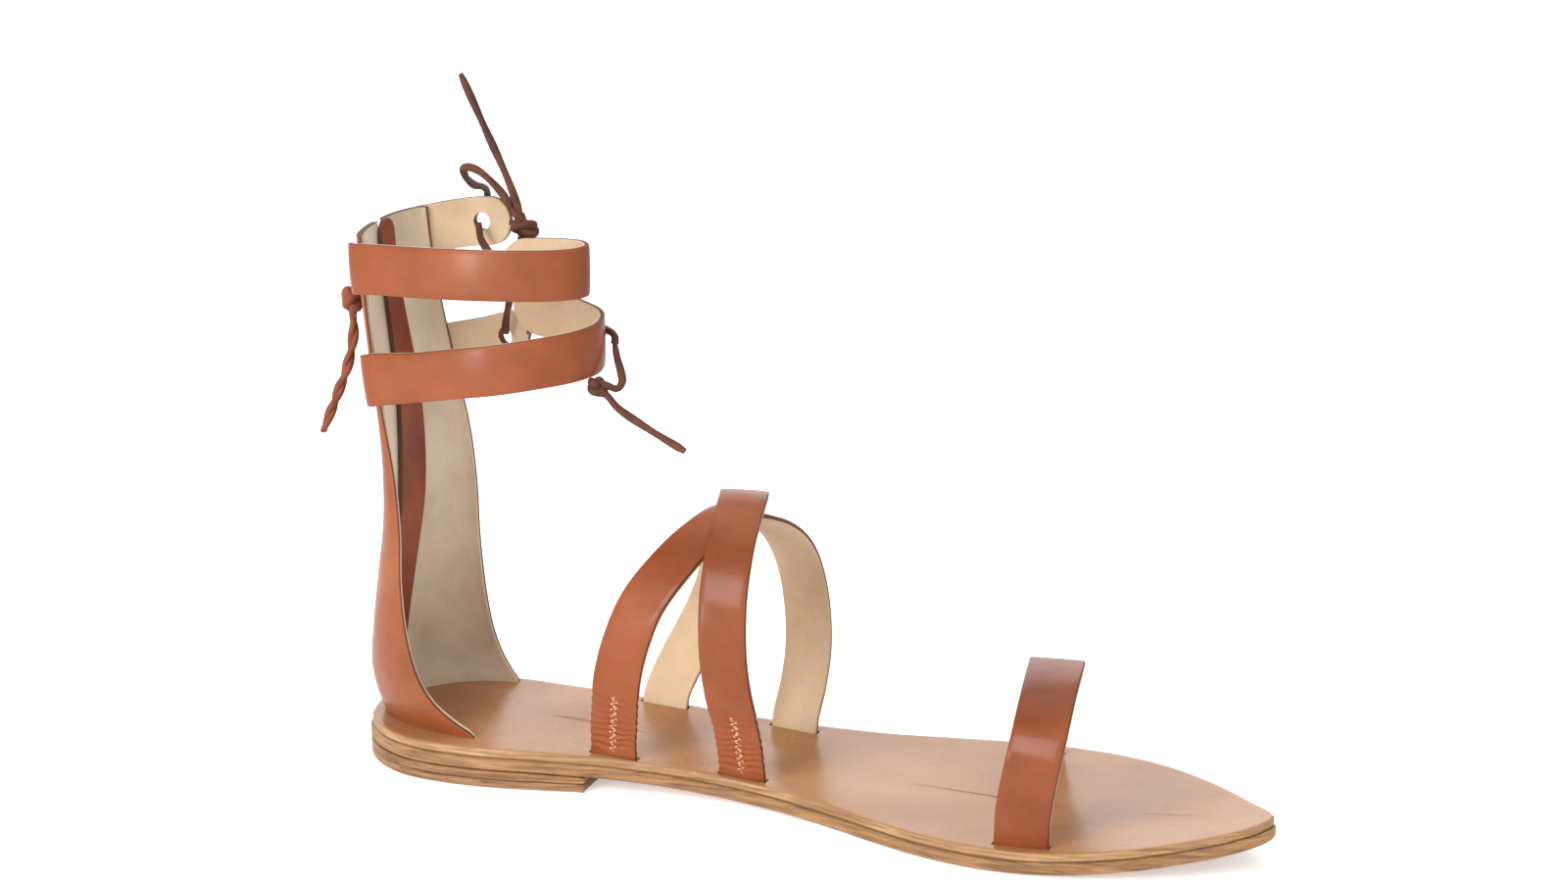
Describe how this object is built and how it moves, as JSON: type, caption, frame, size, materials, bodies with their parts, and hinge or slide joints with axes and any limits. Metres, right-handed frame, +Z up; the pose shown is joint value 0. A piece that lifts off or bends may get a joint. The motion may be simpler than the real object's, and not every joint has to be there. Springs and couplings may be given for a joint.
{
  "type": "gladiator sandal",
  "caption": "Flat tan leather gladiator sandal with a heel shaft, crossed instep straps, a toe strap and laced ankle straps.",
  "frame": {"origin": "on the floor under the middle of the heel", "axes": "+X from the heel to the toe, +Y to the outer side of the foot, +Z up"},
  "size_m": [0.2629, 0.0787, 0.1829],
  "materials": {
    "strap_leather": "smooth polished tan",
    "insole_leather": "smooth natural, burnished",
    "sole_edge": "stacked natural leather edge",
    "guard_leather": "smooth dark tan",
    "zip_tape": "woven tape with metal teeth",
    "slider_metal": "pale metal",
    "lace_leather": "round dark leather lace"
  },
  "bodies": {
    "root": {"outsole": "sole_edge", "heel_lift": "sole_edge", "insole": "insole_leather", "counter_inner": "strap_leather", "counter_outer": "strap_leather", "zip_chain": "zip_tape", "zip_guard": "guard_leather", "zip_slider": "slider_metal", "instep_cross": "strap_leather", "toe_strap": "strap_leather", "ankle_strap_upper_inner": "strap_leather", "ankle_strap_upper_outer": "strap_leather", "ankle_strap_lower_inner": "strap_leather", "ankle_strap_lower_outer": "strap_leather", "lace_crossing": "lace_leather", "lace_top_knot": "lace_leather", "lace_top_loop": "lace_leather", "lace_top_end": "lace_leather", "lace_bottom_knot": "lace_leather", "lace_bottom_loop": "lace_leather", "lace_bottom_end": "lace_leather", "pull_knot": "lace_leather", "pull_thong": "lace_leather"}
  },
  "joints": []
}
